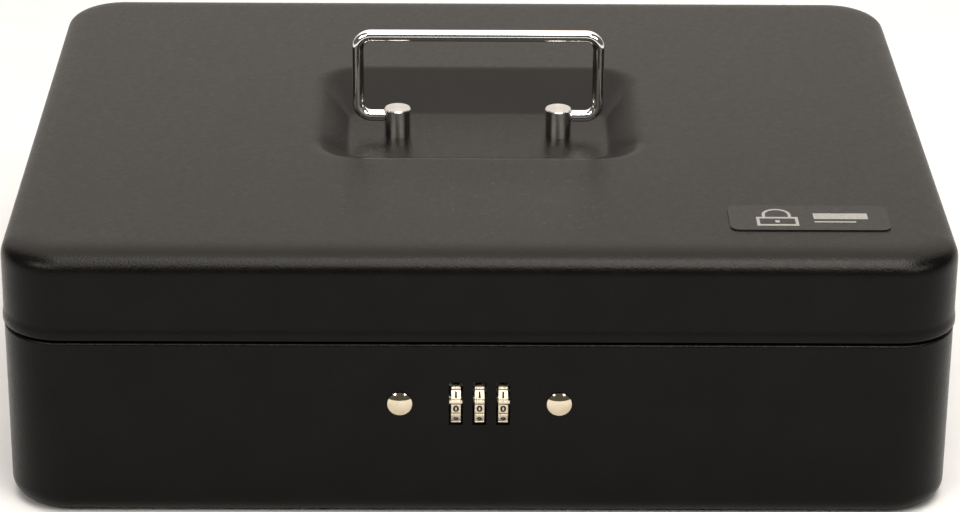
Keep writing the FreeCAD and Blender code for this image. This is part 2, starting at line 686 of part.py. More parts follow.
def lid_shell():
    """The pressed lid with a hemmed lower edge and the handle recess in its top."""
    outer = round_level(shell_block(0, LID_EDGE_Z, BOX_HEIGHT), BOX_HEIGHT, LID_TOP_RADIUS)
    hem_top = LID_EDGE_Z + HEM_HEIGHT
    hem = round_level(shell_block(-HEM_BULGE, LID_EDGE_Z, hem_top), hem_top, HEM_BULGE - OVERCUT / 10)
    ceiling = BOX_HEIGHT - SHEET
    inner = round_level(shell_block(SHEET, LID_EDGE_Z - PAST, ceiling), ceiling, LID_TOP_RADIUS - SHEET)
    cavity = inner.cut(recess(SHEET, RECESS_FLOOR_Z - SHEET))
    tools = [recess(0.0, RECESS_FLOOR_Z), cavity]
    for x, z in rivet_places(LID_RIVET_Z):
        tools.append(rod(RIVET_RADIUS, (x, SKIRT_Y - PAST, z), (x, HALF_DEPTH + PAST, z)))
    for x in (-POST_X, POST_X):
        tools.append(rod(POST_SCREW_RADIUS, (x, HANDLE_Y, RECESS_FLOOR_Z - SHEET - PAST),
                         (x, HANDLE_Y, RECESS_FLOOR_Z + PAST)))
    return cut(outer.fuse(hem), tools)


def lid_strike():
    """A bracket inside the lid's front with two windowed tabs that the tongues enter."""
    plate_y = (-SKIRT_Y, -SKIRT_Y + SLIDE_SHEET)
    shelf_z = (STRIKE_SHELF_Z, STRIKE_SHELF_Z + SLIDE_SHEET)
    parts = [
        brick((-STRIKE_HALF_WIDTH, STRIKE_HALF_WIDTH), plate_y, (STRIKE_SHELF_Z, STRIKE_PLATE_TOP_Z)),
        brick((-STRIKE_SHELF_HALF_WIDTH, STRIKE_SHELF_HALF_WIDTH), (plate_y[0], STRIKE_Y[1]), shelf_z),
    ]
    windows = []
    for side in (-1, 1):
        x = sorted((side * STRIKE_X[0], side * STRIKE_X[1]))
        parts.append(brick(x, STRIKE_Y, (STRIKE_BOTTOM_Z, shelf_z[0])))
        windows.append(brick((x[0] - PAST, x[1] + PAST), WINDOW_Y, WINDOW_Z))
    return cut(fuse(parts), windows)


def name_plate():
    """A thin blank plate on the lid, near its front right corner."""
    size = (PLATE_X[1] - PLATE_X[0], PLATE_Y[1] - PLATE_Y[0])
    centre = (sum(PLATE_X) / 2, sum(PLATE_Y) / 2)
    return block(size, PLATE_CORNER, BOX_HEIGHT, BOX_HEIGHT + PLATE_THICKNESS, centre)


def handle_post(side):
    """An upright round post with a side bore for the handle's end."""
    x = side * POST_X
    post = rod(POST_RADIUS, (x, HANDLE_Y, RECESS_FLOOR_Z), (x, HANDLE_Y, POST_TOP_Z))
    top = [edge for edge in post.Edges if len(edge.Vertexes) == 1 and abs(edge.Vertexes[0].Z - POST_TOP_Z) < 1e-6]
    post = post.makeChamfer(POST_CHAMFER, top)
    outside = side * (POST_X + POST_RADIUS + PAST)
    bore = rod(NECK_RADIUS + PIN_CLEARANCE, (side * BORE_END_X, HANDLE_Y, PIVOT_Z), (outside, HANDLE_Y, PIVOT_Z))
    thread = rod(POST_SCREW_RADIUS, (x, HANDLE_Y, RECESS_FLOOR_Z - PAST), (x, HANDLE_Y, POST_SCREW_TOP_Z))
    return cut(post, [bore, thread])


def post_screws():
    """A pan-head screw up into each post from inside the lid."""
    solids = []
    head_top = RECESS_FLOOR_Z - SHEET - WASHER_THICKNESS
    for x in (-POST_X, POST_X):
        head = rod(POST_SCREW_HEAD[0], (x, HANDLE_Y, head_top - POST_SCREW_HEAD[1]), (x, HANDLE_Y, head_top))
        shank = rod(POST_SCREW_RADIUS, (x, HANDLE_Y, head_top), (x, HANDLE_Y, POST_SCREW_TOP_Z - POST_SCREW_END_GAP))
        solids.append(fuse([head, shank]))
    return Part.makeCompound(solids)


def post_washers():
    """A plain washer under each post screw."""
    top = RECESS_FLOOR_Z - SHEET
    solids = []
    for x in (-POST_X, POST_X):
        disc = rod(WASHER_RADIUS, (x, HANDLE_Y, top - WASHER_THICKNESS), (x, HANDLE_Y, top))
        solids.append(disc.cut(rod(POST_SCREW_RADIUS, (x, HANDLE_Y, top - PAST), (x, HANDLE_Y, top + PAST))))
    return Part.makeCompound(solids)


def handle_bail():
    """The bent wire handle, standing upright, with a thinner neck at each end."""
    top_z = PIVOT_Z + BAIL_HEIGHT
    slant = BAIL_BEND * (1 - math.cos(math.pi / 4))
    edges = []
    last = Vector(-WIRE_END_X, HANDLE_Y, PIVOT_Z)
    corners = [(-BAIL_HALF_WIDTH, PIVOT_Z), (-BAIL_HALF_WIDTH, top_z), (BAIL_HALF_WIDTH, top_z),
               (BAIL_HALF_WIDTH, PIVOT_Z)]
    ways = [(-1, 0), (0, 1), (1, 0), (0, -1), (-1, 0)]
    for (x, z), way_in, way_out in zip(corners, ways, ways[1:]):
        start = Vector(x - way_in[0] * BAIL_BEND, HANDLE_Y, z - way_in[1] * BAIL_BEND)
        end = Vector(x + way_out[0] * BAIL_BEND, HANDLE_Y, z + way_out[1] * BAIL_BEND)
        middle = Vector(x + (way_out[0] - way_in[0]) * slant, HANDLE_Y, z + (way_out[1] - way_in[1]) * slant)
        edges.append(Part.makeLine(last, start))
        edges.append(Part.Arc(start, middle, end).toShape())
        last = end
    edges.append(Part.makeLine(last, Vector(WIRE_END_X, HANDLE_Y, PIVOT_Z)))
    ring = Part.Wire(Part.makeCircle(WIRE_RADIUS, Vector(-WIRE_END_X, HANDLE_Y, PIVOT_Z), Vector(1, 0, 0)))
    parts = [Part.Wire(edges).makePipeShell([ring], True, True)]
    for side in (-1, 1):
        parts.append(rod(NECK_RADIUS, (side * WIRE_END_X, HANDLE_Y, PIVOT_Z), (side * NECK_END_X, HANDLE_Y, PIVOT_Z)))
    return fuse(parts)


# ---------------------------------------------------------------- coin tray


def coin_cups():
    """The five coin cups along the front of the tray, as x and y ranges."""
    inner = TRAY_HALF_WIDTH - TRAY_WALL
    notch_x, notch_y = TRAY_NOTCH
    side_start = notch_x + TRAY_WALL
    width = (inner - side_start - TRAY_WALL) / 2
    front = TRAY_Y[0] + TRAY_WALL
    cups = [((-notch_x, notch_x), (notch_y + TRAY_WALL, CUP_REAR_Y))]
    for start in (side_start, side_start + width + TRAY_WALL):
        cups.append(((start, start + width), (front, CUP_REAR_Y)))
        cups.append(((-start - width, -start), (front, CUP_REAR_Y)))
    return cups


def note_bays():
    """The three banknote bays along the rear of the tray, as x and y ranges."""
    inner = TRAY_HALF_WIDTH - TRAY_WALL
    width = (2 * inner - 2 * TRAY_WALL) / 3
    y = (CUP_REAR_Y + TRAY_WALL, TRAY_Y[1] - TRAY_WALL)
    starts = [-inner + index * (width + TRAY_WALL) for index in range(3)]
    return [((start, start + width), y) for start in starts]


def coin_tray():
    """The lift-out moulded tray with coin cups, banknote bays and two lift tabs."""
    centre = (0.0, sum(TRAY_Y) / 2)
    size = (2 * TRAY_HALF_WIDTH, TRAY_Y[1] - TRAY_Y[0])
    body = round_level(block(size, TRAY_CORNER, TRAY_BOTTOM_Z, TRAY_TOP_Z, centre), TRAY_BOTTOM_Z, TRAY_EDGE_RADIUS)
    notch_x, notch_y = TRAY_NOTCH
    tools = [brick((-notch_x, notch_x), (TRAY_Y[0] - PAST, notch_y), (TRAY_BOTTOM_Z - PAST, TRAY_TOP_Z + PAST))]
    floor_z = TRAY_BOTTOM_Z + TRAY_FLOOR
    for x, y in coin_cups() + note_bays():
        pocket = block((x[1] - x[0], y[1] - y[0]), CUP_CORNER, floor_z, TRAY_TOP_Z + PAST, (sum(x) / 2, sum(y) / 2))
        tools.append(round_level(pocket, floor_z, CUP_RADIUS))
    tray = cut(body, tools)
    tabs = []
    for x in (-TAB_X, TAB_X):
        tab = brick((x - TAB_HALF_WIDTH, x + TAB_HALF_WIDTH), (CUP_REAR_Y, CUP_REAR_Y + TRAY_WALL),
                    (TRAY_TOP_Z - PAST, TRAY_TOP_Z + TAB_HEIGHT))
        tabs.append(tab)
    return fuse([tray] + tabs)


def save(name, shape):
    """Write one node."""
    shape.exportStep("parts/" + name + ".step")


def main():
    os.makedirs("parts", exist_ok=True)
    save("base_shell", base_shell())
    save("lock_case", lock_case())
    save("lock_cover", lock_cover())
    save("cover_screws", cover_screws())
    save("lock_studs", lock_studs())
    save("lock_nuts", lock_nuts())
    save("dial_axle", dial_axle())
    save("axle_spacer", axle_spacer())
    save("detent_spring", detent_spring())
    save("hinge_base_rivets", rivets(BASE_RIVET_Z, tangent_y()[0], WALL_Y))
    save("lid_shell", lid_shell())
    save("lid_strike", lid_strike())
    save("hinge_lid_rivets", rivets(LID_RIVET_Z, SKIRT_Y - LID_LEAF_SHEET, HALF_DEPTH))
    save("post_screws", post_screws())
    save("post_washers", post_washers())
    save("name_plate", name_plate())
    save("handle_bail", handle_bail())
    save("reset_lever", reset_lever())
    save("coin_tray", coin_tray())
    for name, side in (("left", -1), ("right", 1)):
        save("tray_ledge_" + name, tray_ledge(side))
        save("hinge_base_leaf_" + name, hinge_base_leaf(side))
        save("hinge_lid_leaf_" + name, hinge_lid_leaf(side))
        save("hinge_pin_" + name, hinge_pin(side))
        save("handle_post_" + name, handle_post(side))
        save("latch_button_" + name, latch_button(side))
        save("latch_slide_" + name, latch_slide(side))
    tab = TAB_OVERHANG
    dials = (("left", (tab, tab)), ("middle", (0.0, 0.0)), ("right", (0.0, tab)))
    for (name, tabs), middle in zip(dials, DIAL_POSITIONS):
        save("dial_" + name, dial(middle, tabs))
        save("code_wheel_" + name, code_wheel(middle))


main()
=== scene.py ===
import math

import bmesh
import bpy
from mathutils import Matrix, Vector


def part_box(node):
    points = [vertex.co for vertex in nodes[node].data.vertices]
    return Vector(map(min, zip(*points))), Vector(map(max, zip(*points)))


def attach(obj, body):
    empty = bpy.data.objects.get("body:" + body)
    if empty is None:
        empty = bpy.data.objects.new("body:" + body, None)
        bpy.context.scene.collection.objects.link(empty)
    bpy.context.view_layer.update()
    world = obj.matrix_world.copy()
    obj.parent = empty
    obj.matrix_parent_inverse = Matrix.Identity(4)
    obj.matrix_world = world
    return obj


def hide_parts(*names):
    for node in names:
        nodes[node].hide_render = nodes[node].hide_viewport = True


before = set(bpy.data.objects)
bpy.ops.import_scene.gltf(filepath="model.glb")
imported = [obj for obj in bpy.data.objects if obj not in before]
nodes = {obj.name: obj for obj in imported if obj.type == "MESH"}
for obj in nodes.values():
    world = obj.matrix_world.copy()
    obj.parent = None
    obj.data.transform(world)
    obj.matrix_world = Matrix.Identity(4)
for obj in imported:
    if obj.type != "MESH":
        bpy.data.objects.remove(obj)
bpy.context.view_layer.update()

MM = 0.001

# Camera, in metres and in the lens's own millimetres
CAMERA_PLACE = (-0.010079, -1.058649, 0.506092)
CAMERA_RIGHT = (0.99994769, -0.00736269, 0.00709970)
CAMERA_UP = (-0.00351095, 0.40487349, 0.91436597)
CAMERA_LENS = 125.36
CAMERA_SENSOR = 36.0
CAMERA_CLIP = 0.05

# Case, in millimetres, from the CAD boxes where they give it
lid_low, lid_high = [[c / MM for c in corner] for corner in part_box("lid_shell")]
HEM_BULGE = 0.35
HEM_HEIGHT = 3.0
SHEET = 1.0
LID_HALF = (lid_high[0] - HEM_BULGE, lid_high[1] - HEM_BULGE)
LID_TOP = lid_high[2]
LID_EDGE = lid_low[2]
CORNER = 20.0
LID_TOP_EASE = (13.5, 8.0)  # across the top and down the wall
EASE_POWER = 2.7  # 2 is an ellipse, more is squarer
EASE_MARGIN = 0.4  # of flat top beyond the ease
HEM_FOOT = ((-0.75, 0.0), (0.05, 0.0), (0.25, 0.08), (HEM_BULGE, 0.28))  # outwards and up from the lid's edge
INSIDE_RISES = (1.0, 0.25)
LID_STEPS = 24
HEM_STEPS = 8
FILLET_STEPS = 20

# Handle recess
RECESS_FLOOR_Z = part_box("handle_post_left")[0][2] / MM
RECESS_DEPTH = LID_TOP - RECESS_FLOOR_Z
RECESS_CENTRE = (0.0, 3.0)
RECESS_MOUTH = (57.0, 43.3, 16.0)  # half length, half width, corner radius
RECESS_FLOOR = (43.7, 19.5, 5.0)
MOUTH_MARGIN = 0.6  # of flat top beyond the mouth
FLOOR_MARGIN = 0.5
WALL_EASE_TOP = 0.10  # parts of the wall's run
WALL_EASE_END = 0.35
WALL_EASE_FOOT = 0.05
WALL_STEPS = 20

# Dials, in millimetres
AXLE_Z = 39.05
DIAL_RADIUS = 7.6
DIAL_FACE_RADIUS = 7.2
RIDGE_WIDTH = 0.9
RIDGE_FLAT = 0.72  # part of a ridge's width that is flat
RIDGE_DROP = (0.02, 0.12)  # at the end of that flat, and at the ridge's edge
GROOVE_SPAN = (0.4, 2.6)  # degrees from the ridge's edge
FACE_START = 3.2  # the same
FACE_FLAT = 6.0  # degrees either side of the digit's middle
FACE_SWELL = (0.02, 0.03)  # at the ends of the flat, and in its middle
DIGITS = 10
DIGIT_STEP = 360.0 / DIGITS
DRUM_TRIM = 0.2  # off each side of the CAD drum
DRUM_EASE = ((0.0, 0.15), (0.05, 0.04), (0.15, 0.0))  # how much smaller, and how far in from the side
GROOVE_RADIUS = 6.55
BORE_RADIUS = 1.55
TABS = {"left": (0.3, 0.3), "middle": (0.0, 0.0), "right": (0.0, 0.3)}  # reach past a drum's left and right
TAB_DEPTH = 0.675
TAB_EASE = 0.06
DIGIT_HEIGHT = 2.15
DIGIT_STRETCH = 1.30  # times the font's width
DIGIT_WEIGHT = 0.045  # how far the font's outline is thickened, in its own units
DIGIT_LIFT = 0.05
DIGIT_CUTS = 10
DIGIT_CURVES = 6

# Name plate
plate_low, plate_high = [[c / MM for c in corner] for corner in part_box("name_plate")]
PRINT_LIFT = 0.03
SIGN_PLACE = 0.30  # part of the plate's length
SIGN_RAISE = 1.0
SHACKLE = (3.6, 4.6)  # inner and outer radius
SHACKLE_RISE = 1.2
ARC_STEPS = 16
LOCK_HALF = 6.6
LOCK_RAILS = ((-1.9, -0.6), (-7.6, -6.3))
LOCK_STILE = 1.0
KEYHOLE = (0.7, -5.0, -3.2)  # half width, bottom and top
LINES_START = 0.53
LINES_END = 0.87
LINE_SHORTER = 4.0
TALL_LINE = (-2.2, 2.4)
SHORT_LINE = (-4.9, -3.9)

# Studio, in metres
LIGHT_COLOUR = (1.0, 0.94, 0.86)
SWEEP_COLOUR = (1.09, 1.0, 0.91)
SWEEP = [(0.0, 0.95), (0.18, 0.90), (0.333, 0.90), (0.37, 1.42), (0.405, 1.96), (0.50, 1.72), (0.61, 1.95),
         (0.77, 2.2), (0.87, 2.6), (0.95, 3.6), (1.0, 4.2)]  # height of a direction, and its brightness
REAR_BY_HEIGHT = 0.45
REAR_BY_SIDE = 0.65
FADE_END = 0.5
DARK_ROOM = (0.12, 0.12, 0.106, 1.0)
FLOOR_REACH = 5.0
FLOOR_GAP = 0.00005


# A noise stays mostly between these values
NOISE_LOW = 0.3
NOISE_HIGH = 0.7


# ---------------------------------------------------------------- materials


class Nodes:
    """A material's node tree, with short calls for the nodes used here."""

    def __init__(self, name):
        self.material = bpy.data.materials.new(name)
        self.material.use_nodes = True
        self.tree = self.material.node_tree
        self.shader = self.tree.nodes["Principled BSDF"]
        self.place = self.add("ShaderNodeTexCoord").outputs["Object"]

    def add(self, kind):
        return self.tree.nodes.new(kind)

    def link(self, source, target):
        self.tree.links.new(source, target)

    def set(self, **values):
        for name, value in values.items():
            self.shader.inputs[name.replace("_", " ")].default_value = value

    def stretched(self, scale):
        node = self.add("ShaderNodeMapping")
        node.inputs["Scale"].default_value = scale
        self.link(self.place, node.inputs["Vector"])
        return node.outputs["Vector"]

    def noise(self, scale, detail=2.0, rough=0.5, place=None):
        node = self.add("ShaderNodeTexNoise")
        node.inputs["Scale"].default_value = scale
        node.inputs["Detail"].default_value = detail
        node.inputs["Roughness"].default_value = rough
        self.link(place or self.place, node.inputs["Vector"])
        return node.outputs["Fac"]

    def cells(self, scale):
        node = self.add("ShaderNodeTexVoronoi")
        node.inputs["Scale"].default_value = scale
        self.link(self.place, node.inputs["Vector"])
        return node.outputs["Distance"]

    def tint(self, source, low, high, start=NOISE_LOW, end=NOISE_HIGH):
        """The base colour, from one colour to another as the source rises."""
        node = self.add("ShaderNodeValToRGB")
        for point, place, colour in zip(node.color_ramp.elements, (start, end), (low, high)):
            point.position = place
            point.color = (*colour, 1.0)
        self.link(source, node.inputs["Fac"])
        self.link(node.outputs["Color"], self.shader.inputs["Base Color"])

    def gloss(self, source, low, high):
        """The roughness, between two values as the source rises."""
        node = self.add("ShaderNodeMapRange")
        for name, value in (("From Min", NOISE_LOW), ("From Max", NOISE_HIGH),
                            ("To Min", low), ("To Max", high)):
            node.inputs[name].default_value = value
        self.link(source, node.inputs["Value"])
        self.link(node.outputs["Result"], self.shader.inputs["Roughness"])

    def bump(self, source, distance, strength=1.0, under=None):
        node = self.add("ShaderNodeBump")
        node.inputs["Strength"].default_value = strength
        node.inputs["Distance"].default_value = distance
        self.link(source, node.inputs["Height"])
        if under:
            self.link(under, node.inputs["Normal"])
        return node.outputs["Normal"]

    def relief(self, source, distance, strength=1.0, under=None):
        self.link(self.bump(source, distance, strength, under), self.shader.inputs["Normal"])


def powder_coat():
    """Satin black powder coat: a grain over coarser orange peel, and slow changes in gloss."""
    n = Nodes("powder_coat")
    n.tint(n.noise(60.0, 4.0), (0.0010, 0.0009, 0.0008), (0.0017, 0.0016, 0.0014))
    n.gloss(n.noise(420.0, 3.0), 0.27, 0.34)
    coarse = n.bump(n.noise(700.0, 2.0), 0.00002, 0.7)
    n.relief(n.noise(1800.0, 1.0), 0.00009, 1.0, coarse)
    n.set(IOR=1.20)
    return n.material


def bright_chrome():
    n = Nodes("bright_chrome")
    n.tint(n.noise(260.0, 3.0), (0.80, 0.79, 0.77), (0.88, 0.87, 0.85))
    n.gloss(n.noise(900.0, 4.0), 0.03, 0.09)
    n.relief(n.noise(350.0, 2.0), 0.00002, 0.3)
    n.set(Metallic=1.0)
    return n.material


def warm_chrome():
    n = Nodes("warm_chrome")
    n.tint(n.noise(300.0, 3.0), (0.58, 0.50, 0.37), (0.65, 0.57, 0.44))
    n.gloss(n.noise(900.0, 4.0), 0.05, 0.10)
    n.relief(n.noise(350.0, 2.0), 0.00003, 0.3)
    n.set(Metallic=1.0)
    return n.material


def turned_post():
    """Nickelled turned steel: its rings stretch what it mirrors up and down."""
    n = Nodes("turned_post")
    rings = n.noise(1.0, 2.0, 0.6, n.stretched((30.0, 30.0, 6000.0)))
    n.tint(rings, (0.43, 0.42, 0.41), (0.49, 0.48, 0.465))
    n.gloss(rings, 0.20, 0.23)
    around = n.add("ShaderNodeTangent")
    around.direction_type = "RADIAL"
    around.axis = "Z"
    n.link(around.outputs["Tangent"], n.shader.inputs["Tangent"])
    n.set(Metallic=1.0, Anisotropic=0.9, Anisotropic_Rotation=0.25)
    return n.material


def zinc_plate():
    n = Nodes("zinc_plate")
    n.tint(n.cells(400.0), (0.46, 0.46, 0.44), (0.64, 0.64, 0.61), 0.1, 0.8)
    n.gloss(n.noise(700.0, 3.0), 0.24, 0.40)
    n.relief(n.noise(1500.0, 2.0), 0.00002, 0.4)
    n.set(Metallic=1.0)
    return n.material


def dial_nickel():
    """Drawn nickel: grooves round the drum scatter what it mirrors to the sides."""
    n = Nodes("dial_nickel")
    brushed = n.noise(1.0, 4.0, 0.6, n.stretched((5200.0, 420.0, 420.0)))
    n.tint(brushed, (0.50, 0.45, 0.36), (0.76, 0.69, 0.57))
    n.gloss(brushed, 0.46, 0.60)
    grooves = n.noise(1.0, 2.0, 0.6, n.stretched((1700.0, 160.0, 160.0)))
    n.relief(grooves, 0.00040)
    n.set(Metallic=1.0)
    return n.material


def plate_black():
    n = Nodes("plate_black")
    n.tint(n.noise(500.0, 3.0), (0.006, 0.006, 0.006), (0.010, 0.010, 0.009))
    n.gloss(n.noise(900.0, 3.0), 0.30, 0.38)
    n.set(IOR=1.20)
    return n.material


def print_grey():
    n = Nodes("print_grey")
    n.tint(n.noise(1600.0, 3.0), (0.10, 0.10, 0.095), (0.16, 0.16, 0.15))
    n.gloss(n.noise(900.0, 3.0), 0.35, 0.50)
    return n.material


def digit_paint():
    n = Nodes("digit_paint")
    n.tint(n.noise(2500.0, 3.0), (0.008, 0.005, 0.003), (0.020, 0.013, 0.008))
    n.gloss(n.noise(1500.0, 3.0), 0.55, 0.75)
    n.set(IOR=1.25)
    return n.material


def black_plastic():
    """Black moulded plastic with a fine spark-eroded grain."""
    n = Nodes("black_plastic")
    n.tint(n.noise(80.0, 4.0), (0.014, 0.014, 0.015), (0.021, 0.021, 0.022))
    n.gloss(n.noise(900.0, 3.0), 0.42, 0.56)
    n.relief(n.noise(1300.0, 3.0), 0.00006, 0.6)
    return n.material


COAT = powder_coat()
CHROME = bright_chrome()
WARM_CHROME = warm_chrome()
POST = turned_post()
ZINC = zinc_plate()
NICKEL = dial_nickel()
PLATE = plate_black()
PRINT = print_grey()
DIGIT = digit_paint()
PLASTIC = black_plastic()

FINISH = {
    COAT: ["base_shell", "lid_shell", "lock_case", "lock_cover", "tray_ledge_left", "tray_ledge_right",
           "hinge_base_leaf_left", "hinge_base_leaf_right", "hinge_lid_leaf_left", "hinge_lid_leaf_right",
           "hinge_base_rivets", "hinge_lid_rivets", "lid_strike"],
    CHROME: ["handle_bail"],
    WARM_CHROME: ["latch_button_left", "latch_button_right"],
    POST: ["handle_post_left", "handle_post_right"],
    ZINC: ["cover_screws", "lock_studs", "lock_nuts", "dial_axle", "axle_spacer", "detent_spring",
           "hinge_pin_left", "hinge_pin_right", "post_screws", "post_washers", "latch_slide_left",
           "latch_slide_right", "reset_lever"],
    NICKEL: ["dial_left", "dial_middle", "dial_right"],
    PLATE: ["name_plate"],
    PLASTIC: ["coin_tray", "code_wheel_left", "code_wheel_middle", "code_wheel_right"],
}
for finish, names in FINISH.items():
    for name in names:
        if not nodes[name].material_slots:
            nodes[name].data.materials.append(finish)
        for holder in nodes[name].material_slots:
            holder.material = finish


# ---------------------------------------------------------------- mesh helpers


def piece(name, points, faces, material, body, crease=35.0):
    """A smooth-shaded mesh piece, given in millimetres, that rides on a body."""
    mesh = bpy.data.meshes.new(name)
    mesh.from_pydata([[c * MM for c in p] for p in points], [], faces)
    mesh.validate()
    for polygon in mesh.polygons:
        polygon.use_smooth = True
    mesh.set_sharp_from_angle(angle=math.radians(crease))
    mesh.materials.append(material)
    thing = bpy.data.objects.new(name, mesh)
    bpy.context.scene.collection.objects.link(thing)
    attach(thing, body)
    return thing


def loop(half_x, half_y, radius, steps, centre=(0.0, 0.0)):
    """A rounded rectangle, anticlockwise, as (x, y, side); side is 1 on the x walls and 0 on the y walls."""
    out = []
    for quarter in range(4):
        sign_x = 1 if quarter in (0, 3) else -1
        sign_y = 1 if quarter in (0, 1) else -1
        for step in range(steps + 1):
            turn = math.radians(90.0 * (quarter + step / steps))
            x = sign_x * (half_x - radius) + radius * math.cos(turn)
            y = sign_y * (half_y - radius) + radius * math.sin(turn)
            out.append((centre[0] + x, centre[1] + y, math.cos(turn) ** 2))
    return out


def loft(rings, first_cap=True, last_cap=True):
    """Points and faces through rings of equal length."""
    count = len(rings[0])
    points = [p for ring in rings for p in ring]
    faces = []
    for row in range(len(rings) - 1):
        for i in range(count):
            j = (i + 1) % count
            faces.append((row * count + i, row * count + j, (row + 1) * count + j, (row + 1) * count + i))
    if first_cap:
        faces.append(tuple(reversed(range(count))))
    if last_cap:
        last = (len(rings) - 1) * count
        faces.append(tuple(range(last, last + count)))
    return points, faces


def level(half_x, half_y, radius, grow, z, centre=(0.0, 0.0)):
    """A level ring of a rounded rectangle moved outwards by an amount."""
    around = loop(half_x + grow, half_y + grow, radius + grow, LID_STEPS, centre)
    return [(x, y, z) for x, y, side in around]


# ---------------------------------------------------------------- lid


def fall(t, side):
    """How far the recess wall has dropped; the ease in at its top is longer at the ends of the recess."""
    top = WALL_EASE_TOP + (WALL_EASE_END - WALL_EASE_TOP) * side
    slope = 1 / (1 - top / 2 - WALL_EASE_FOOT / 2)
    if t < top:
        return slope * t * t / (2 * top)
    if t > 1 - WALL_EASE_FOOT:
        return 1 - slope * (1 - t) ** 2 / (2 * WALL_EASE_FOOT)
    return slope * (t - top / 2)


def recess_ring(t, sink, spread):
    """A ring down the recess wall, t 0 at the mouth and 1 at the floor, set off by a sheet."""
    size = [a + (b - a) * t + spread for a, b in zip(RECESS_MOUTH, RECESS_FLOOR)]
    around = loop(size[0], size[1], size[2], LID_STEPS, RECESS_CENTRE)
    return [(x, y, LID_TOP - sink - RECESS_DEPTH * fall(t, side)) for x, y, side in around]


def lid_side(skin):
    """Rings of one face of the lid from its top edge inwards over the recess; skin 0 outside, 1 inside."""
    rings = []
    across, down = LID_TOP_EASE
    for step in range(FILLET_STEPS + 1):
        turn = math.radians(90.0 * step / FILLET_STEPS)
        out, up = [max(part, 0.0) ** (2 / EASE_POWER) for part in (math.cos(turn), math.sin(turn))]
        rings.append(level(*LID_HALF, CORNER, (across - skin * SHEET) * out - across,
                           LID_TOP - down + (down - skin * SHEET) * up))
    top = LID_TOP - skin * SHEET
    spread = skin * SHEET / 2
    rings.append(level(*LID_HALF, CORNER, -across - EASE_MARGIN, top))
    rings.append(level(*RECESS_MOUTH, spread + MOUTH_MARGIN, top, RECESS_CENTRE))
    for step in range(WALL_STEPS + 1):
        rings.append(recess_ring(step / WALL_STEPS, skin * SHEET, spread))
    rings.append(level(*RECESS_FLOOR, -FLOOR_MARGIN, RECESS_FLOOR_Z - skin * SHEET, RECESS_CENTRE))
    return rings


def lid_skin():
    """The lid as one closed skin: inside, hemmed lower edge, then outside."""
    hem = [(grow, LID_EDGE + rise) for grow, rise in HEM_FOOT]
    for step in range(HEM_STEPS + 1):
        ease = (1 + math.cos(math.pi * step / HEM_STEPS)) / 2
        hem.append((HEM_BULGE * ease, LID_EDGE + HEM_HEIGHT / 2 + HEM_HEIGHT * step / HEM_STEPS))
    inside = [(-SHEET, LID_EDGE + rise) for rise in INSIDE_RISES]
    rings = list(reversed(lid_side(1)))
    rings += [level(*LID_HALF, CORNER, grow, z) for grow, z in inside + hem]
    rings += lid_side(0)
    points, faces = loft(rings)
    skin = piece("lid_skin", points, faces, COAT, "lid")
    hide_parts("lid_shell")


lid_skin()


# ---------------------------------------------------------------- dials


def drum_profile():
    """One turn of the drum as (angle, radius): for each digit a face between two grooves and half ridges."""
    half = DIGIT_STEP / 2
    ridge = math.degrees(RIDGE_WIDTH / DIAL_FACE_RADIUS) / 2
    foot = half - ridge
    inwards = [(half, DIAL_RADIUS),
               (half - ridge * RIDGE_FLAT, DIAL_RADIUS - RIDGE_DROP[0]),
               (foot, DIAL_RADIUS - RIDGE_DROP[1]),
               (foot - GROOVE_SPAN[0], GROOVE_RADIUS),
               (foot - GROOVE_SPAN[1], GROOVE_RADIUS),
               (foot - FACE_START, DIAL_FACE_RADIUS),
               (FACE_FLAT, DIAL_FACE_RADIUS + FACE_SWELL[0])]
    face = [(-offset, radius) for offset, radius in inwards]
    face += [(0.0, DIAL_FACE_RADIUS + FACE_SWELL[1])] + inwards[:0:-1]
    return [(math.radians(index * DIGIT_STEP + offset), radius)
            for index in range(DIGITS) for offset, radius in face]


def on_drum(x, radius, angle, axle_y):
    """A point on a cylinder round the axle, angle 0 at the front."""
    return x, axle_y - radius * math.cos(angle), AXLE_Z + radius * math.sin(angle)


def dial_drum(name, body):
    """A drum with ten ridges, a groove on either side of each, and its painted digits."""
    low, high = [[c / MM for c in corner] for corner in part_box("dial_" + name)]
    axle_y = (low[1] + high[1]) / 2
    left_tab, right_tab = TABS[name]
    left, right = low[0] + left_tab + DRUM_TRIM, high[0] - right_tab - DRUM_TRIM
    profile = drum_profile()

    def ring(x, shrink):
        return [on_drum(x, radius - shrink, angle, axle_y) for angle, radius in profile]

    def bore(x):
        return [on_drum(x, BORE_RADIUS, angle, axle_y) for angle, radius in profile]

    rings = [bore(left)]
    rings += [ring(left + inwards, shrink) for shrink, inwards in reversed(DRUM_EASE)]
    rings += [ring(right - inwards, shrink) for shrink, inwards in DRUM_EASE]
    rings += [bore(right), bore(left)]
    points, faces = loft(rings, False, False)
    drum = piece("dial_drum_" + name, points, faces, NICKEL, body, 30.0)
    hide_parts("dial_" + name)
    for side, word, size, x in ((-1, "left", left_tab, left), (1, "right", right_tab, right)):
        if size:
            rings = ridge_tab(x, side, size + DRUM_TRIM, axle_y)
            points, faces = loft(rings)
            piece("dial_tab_%s_%s" % (name, word), points, faces, NICKEL, body)
    for digit in range(DIGITS):
        dial_digit(name, body, digit, (left + right) / 2, axle_y)


